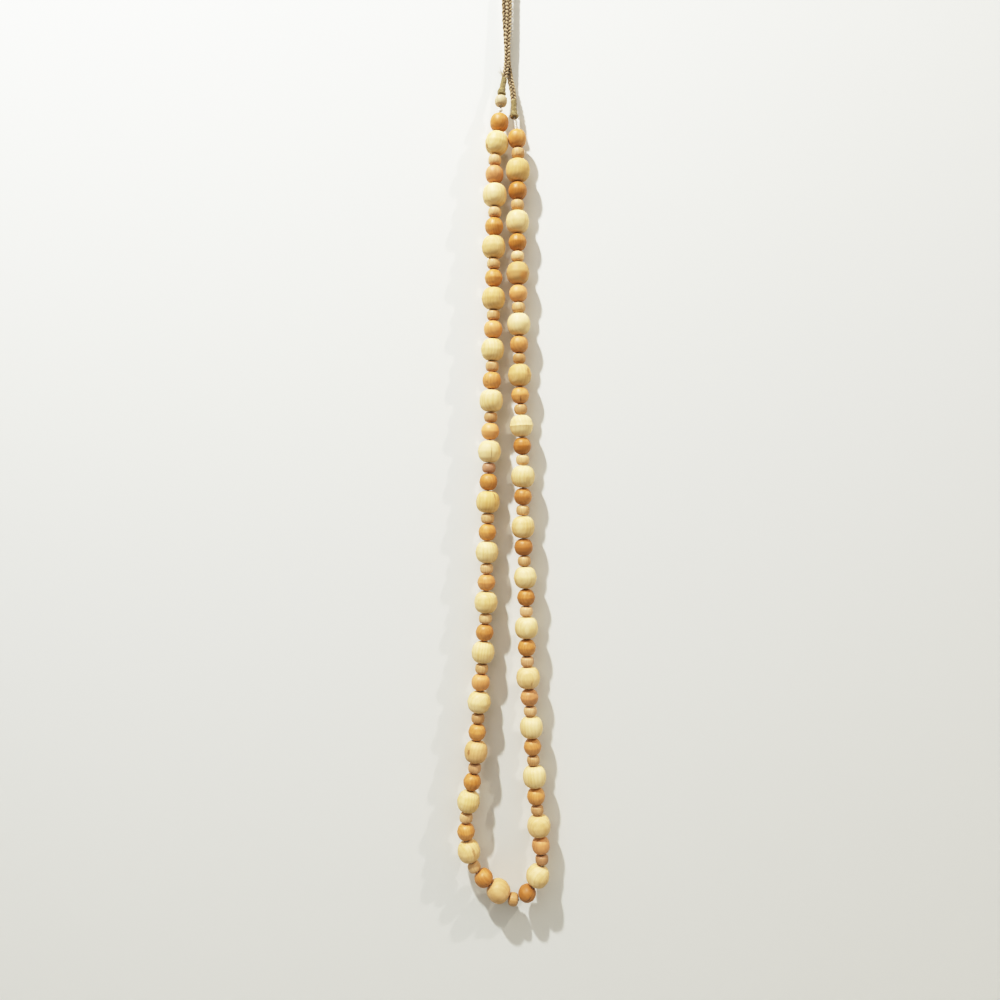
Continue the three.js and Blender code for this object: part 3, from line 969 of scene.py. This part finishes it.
def make_bead(number, joints, gaps, rng):
    """One bead's points, faces and notes.

    A point is the bead's middle, plus its height along the hole, plus its radius in the direction
    of its turn, which starts at the back. The turned section is a little oval, by a cosine of
    twice the turn, and the whole bead leans a little, as it hangs free on its thread.
    """
    kind = ORDER[number]
    bead, turning = BEADS[kind], TURNING[kind]
    axis = unit(joints[number + 1] - joints[number])
    centre = joints[number] + axis * (gaps[number] + bead.along) / 2
    front, aside = facing(axis)
    lean = rng.normal(scale=SPREAD.lean, size=2)
    axis = unit(axis + lean[0] * front + lean[1] * aside)
    front, aside = facing(axis, front)

    ridge = rng.uniform(*turning.ridge)
    ripple = rng.uniform(0.0, SPREAD.ripple) * bead.across / BEADS["large"].across
    height, radius = bead_section(kind, ridge, ripple, rng.uniform(0, FULL_TURN))
    stout = rng.uniform(*SPREAD.stout) * (FIRST_BEAD_STOUT if number == 0 else 1.0)
    tall = height * rng.uniform(*SPREAD.short)
    oval = rng.uniform(0.0, SPREAD.oval)
    turn = np.arange(turning.columns) / turning.columns
    swell = stout * (1 + oval * np.cos(2 * FULL_TURN * turn + rng.uniform(0, FULL_TURN)))
    around = -(np.cos(FULL_TURN * turn)[:, None] * front + np.sin(FULL_TURN * turn)[:, None] * aside)
    spread = radius[:, None] * swell[None, :]
    points = centre + tall[:, None, None] * axis + spread[..., None] * around[None]

    roll = FULL_TURN * (turn + rng.uniform())
    up_hole = np.broadcast_to(tall[:, None], spread.shape)
    grain = np.stack([spread * np.cos(roll), spread * np.sin(roll), up_hole], -1)
    drawn_tint = (rng.normal(scale=PALER_SPREAD), rng.uniform(*ROSIER_RANGE))
    paler, rosier = TINTS.get(number, drawn_tint)
    stick = (rng.uniform(0, GRAIN_PLACES), paler, rosier)
    outside = turning.rows + 1
    mark, mark_fit = place_mark(number, tall[:outside], radius[:outside], axis, aside)
    return {
        "points": points.reshape(-1, 3),
        "faces": closed_grid(*spread.shape),
        "grain": grain.reshape(-1, 3),
        "stick": np.tile(stick, (spread.size, 1)),
        "mark": np.tile(mark, (spread.size, 1)),
        "mark_fit": np.tile(mark_fit, (spread.size, 1)),
        "uv": skin_map(tall, len(turn)),
    }


def make_beads(node, first, count, joints, gaps, rng, woods=WOODS):
    """The finished beads of one solid, as one mesh with a wood for each size."""
    numbers = range(first, first + count)
    kinds = sorted({ORDER[n] for n in numbers})
    beads = [make_bead(n, joints, gaps, rng) for n in numbers]
    points, faces = joined([(b["points"], b["faces"]) for b in beads])
    wood_of_bead = np.array([kinds.index(ORDER[n]) for n in numbers], np.int32)
    wood_of_face = np.repeat(wood_of_bead, [len(b["faces"]) for b in beads])
    finishes = [woods[kind] for kind in kinds]
    obj = piece("turned_" + node, points, faces, finishes, wood_of_face, BEAD_SHARP)
    for key in ("grain", "stick", "mark", "mark_fit"):
        note(obj, key, np.vstack([b[key] for b in beads]))
    skin = obj.data.uv_layers.new(name="skin")
    skin.data.foreach_set("uv", np.vstack([b["uv"] for b in beads]).astype(np.float32).ravel())
    stand_for(obj, node)


def make_knot(joints):
    """The stop knot under the first bead.

    Its cord follows a trefoil: sine plus twice the sine of the double angle, cosine less twice
    that cosine, and the sine of the triple.
    """
    rows, sides = KNOT.rows, KNOT.sides
    k = np.arange(rows) * FULL_TURN / rows
    across = KNOT.loop * (np.sin(k) + 2 * np.sin(2 * k))
    along = KNOT.loop * (np.cos(k) - 2 * np.cos(2 * k))
    deep = KNOT.height * -np.sin(3 * k)
    axis = unit(joints[2] - joints[0])
    front, aside = facing(axis)
    loop = joints[1] + across[:, None] * aside + along[:, None] * front + deep[:, None] * axis
    ahead = unit(np.roll(loop, -1, axis=0) - np.roll(loop, 1, axis=0))
    side = unit(np.cross(ahead, unit(loop - joints[1])))
    out = np.cross(side, ahead)
    a = np.arange(sides) * FULL_TURN / sides
    points = (loop[:, None] + KNOT.cord / 2 * ring_directions(a, out, side)).reshape(-1, 3)
    return points, closed_grid(rows, sides)


def make_thread(joints, left_end, right_end):
    """The thread through every bead, twisted of two plies, and the knot under the first bead.

    It follows the joints in straight runs. Its radius is a little less between the plies, by the
    square of a sine that turns with the distance, where it shows.
    """
    corners = np.vstack([left_end, joints, right_end])
    total = distances(corners)
    shown_left, shown_right = total[2] + THREAD.past, total[-2] - THREAD.before
    wanted = np.concatenate([
        np.arange(0, shown_left, THREAD.fine),
        np.arange(shown_left, shown_right, THREAD.coarse),
        np.arange(shown_right, total[-1], THREAD.fine),
        total[-1:],
    ])
    line = at_distances(corners, wanted)
    t = np.arange(THREAD.sides) * FULL_TURN / THREAD.sides
    shown = ((wanted < shown_left) | (wanted > shown_right))[:, None]
    turned = t[None, :] - FULL_TURN * wanted[:, None] / THREAD.twist
    dip = np.sin(turned) ** 2
    radius = THREAD.across / 2 * (1 - THREAD.dip * dip * shown)
    thread_part = tube(line, radius)
    lie = places_in_yarn(turned, wanted)
    # Painted shade in the dip between the two plies, where the thread shows.
    hollow = np.concatenate([(dip ** 4 * shown).reshape(-1), [0.0, 0.0]])

    knot_points, knot_faces = make_knot(joints)
    points, faces = joined([thread_part, (knot_points, knot_faces)])
    obj = piece("strung_cotton_thread", points, faces, [COTTON])
    lie = np.vstack([lie, knot_points * KNOT.streaks])
    note_yarn(obj, lie, np.append(hollow, np.zeros(len(knot_points))))
    stand_for(obj, "thread")


# ---- the garland

make_camera()
rng = np.random.default_rng(31)
jute, jute_hairs, jute_line = make_jute(rng)
left_end, right_end = jute_line[0], jute_line[-1]
left_inwards = unit(np.subtract(JUTE_ROUTE[1], JUTE_ROUTE[0]))
right_inwards = unit(np.subtract(JUTE_ROUTE[-2], JUTE_ROUTE[-1]))
left_binding = make_binding("left", left_end, left_inwards, rng=rng, **LEFT_BINDING)
right_binding = make_binding("right", right_end, right_inwards, rng=rng, **RIGHT_BINDING)
frayed_end = make_frayed_end(left_end, left_inwards, rng)

joints, gaps = lay_strand()
make_thread(joints, left_end - left_inwards * CLEARANCE, right_end - right_inwards * CLEARANCE)
make_beads("first_small_bead", 0, 1, joints, gaps, rng, {"small": FIRST_WOOD})
for n in range(TRIOS):
    make_beads(f"beads_{n + 1:02d}", 1 + len(TRIO) * n, len(TRIO), joints, gaps, rng)
make_beads("last_medium_bead", len(ORDER) - 1, 1, joints, gaps, rng)

for name, values in LAMPS.items():
    make_lamp(name, **values)
make_world()
make_room()
make_tones()
